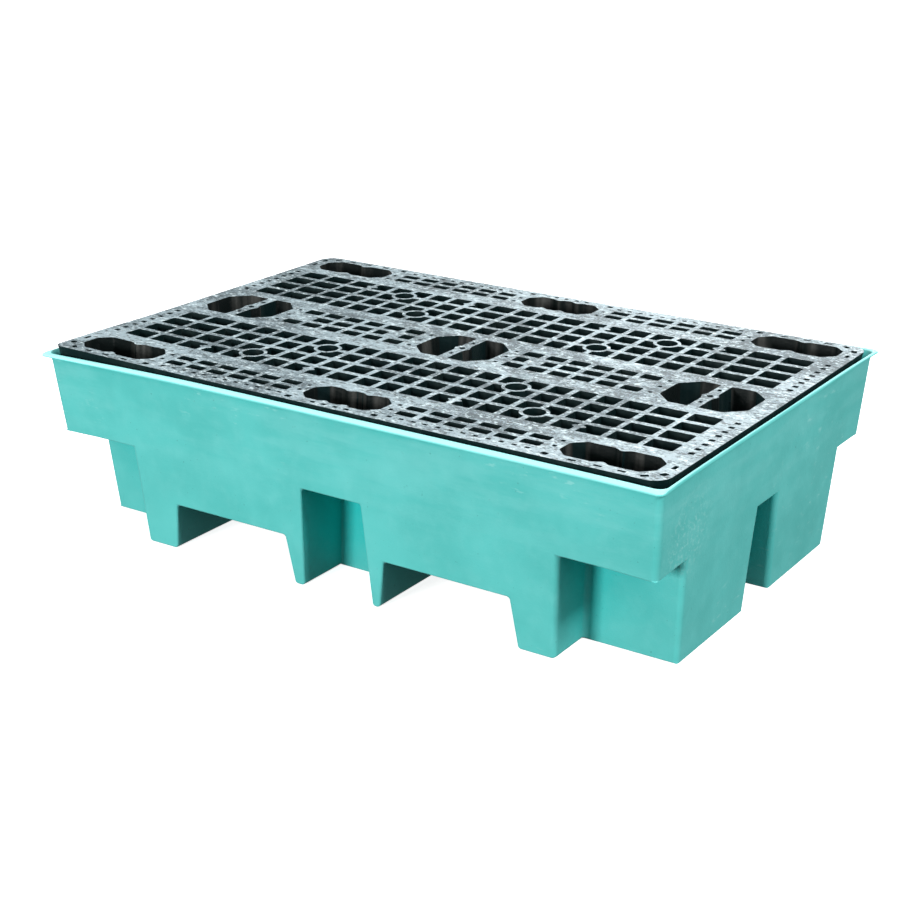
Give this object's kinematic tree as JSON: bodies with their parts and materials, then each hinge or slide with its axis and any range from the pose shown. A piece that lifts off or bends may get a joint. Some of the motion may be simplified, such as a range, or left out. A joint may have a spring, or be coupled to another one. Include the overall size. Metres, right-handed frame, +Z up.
{
  "type": "spill containment pallet",
  "caption": "Rectangular drafted plastic sump tray on hollow feet with fork tunnels, holding a loose nestable grid pallet as its load deck.",
  "frame": {"origin": "middle of the tray's footprint, on the floor it stands on", "axes": "+X along the long side, +Y along the short side, +Z up towards the load deck"},
  "size_m": [1.228, 0.848, 0.34],
  "materials": {
    "tray_teal": "satin rotomoulded polyethylene",
    "deck_black": "satin moulded polyethylene with a fine worn grain"
  },
  "bodies": {
    "tray": {"sump_tray": "tray_teal"},
    "deck": {"deck_pallet": "deck_black"}
  },
  "joints": [
    {"name": "deck_lift", "type": "slide", "parent": "tray", "child": "deck", "axis": [0, 0, 1], "range_m": [0, 0.25]}
  ]
}
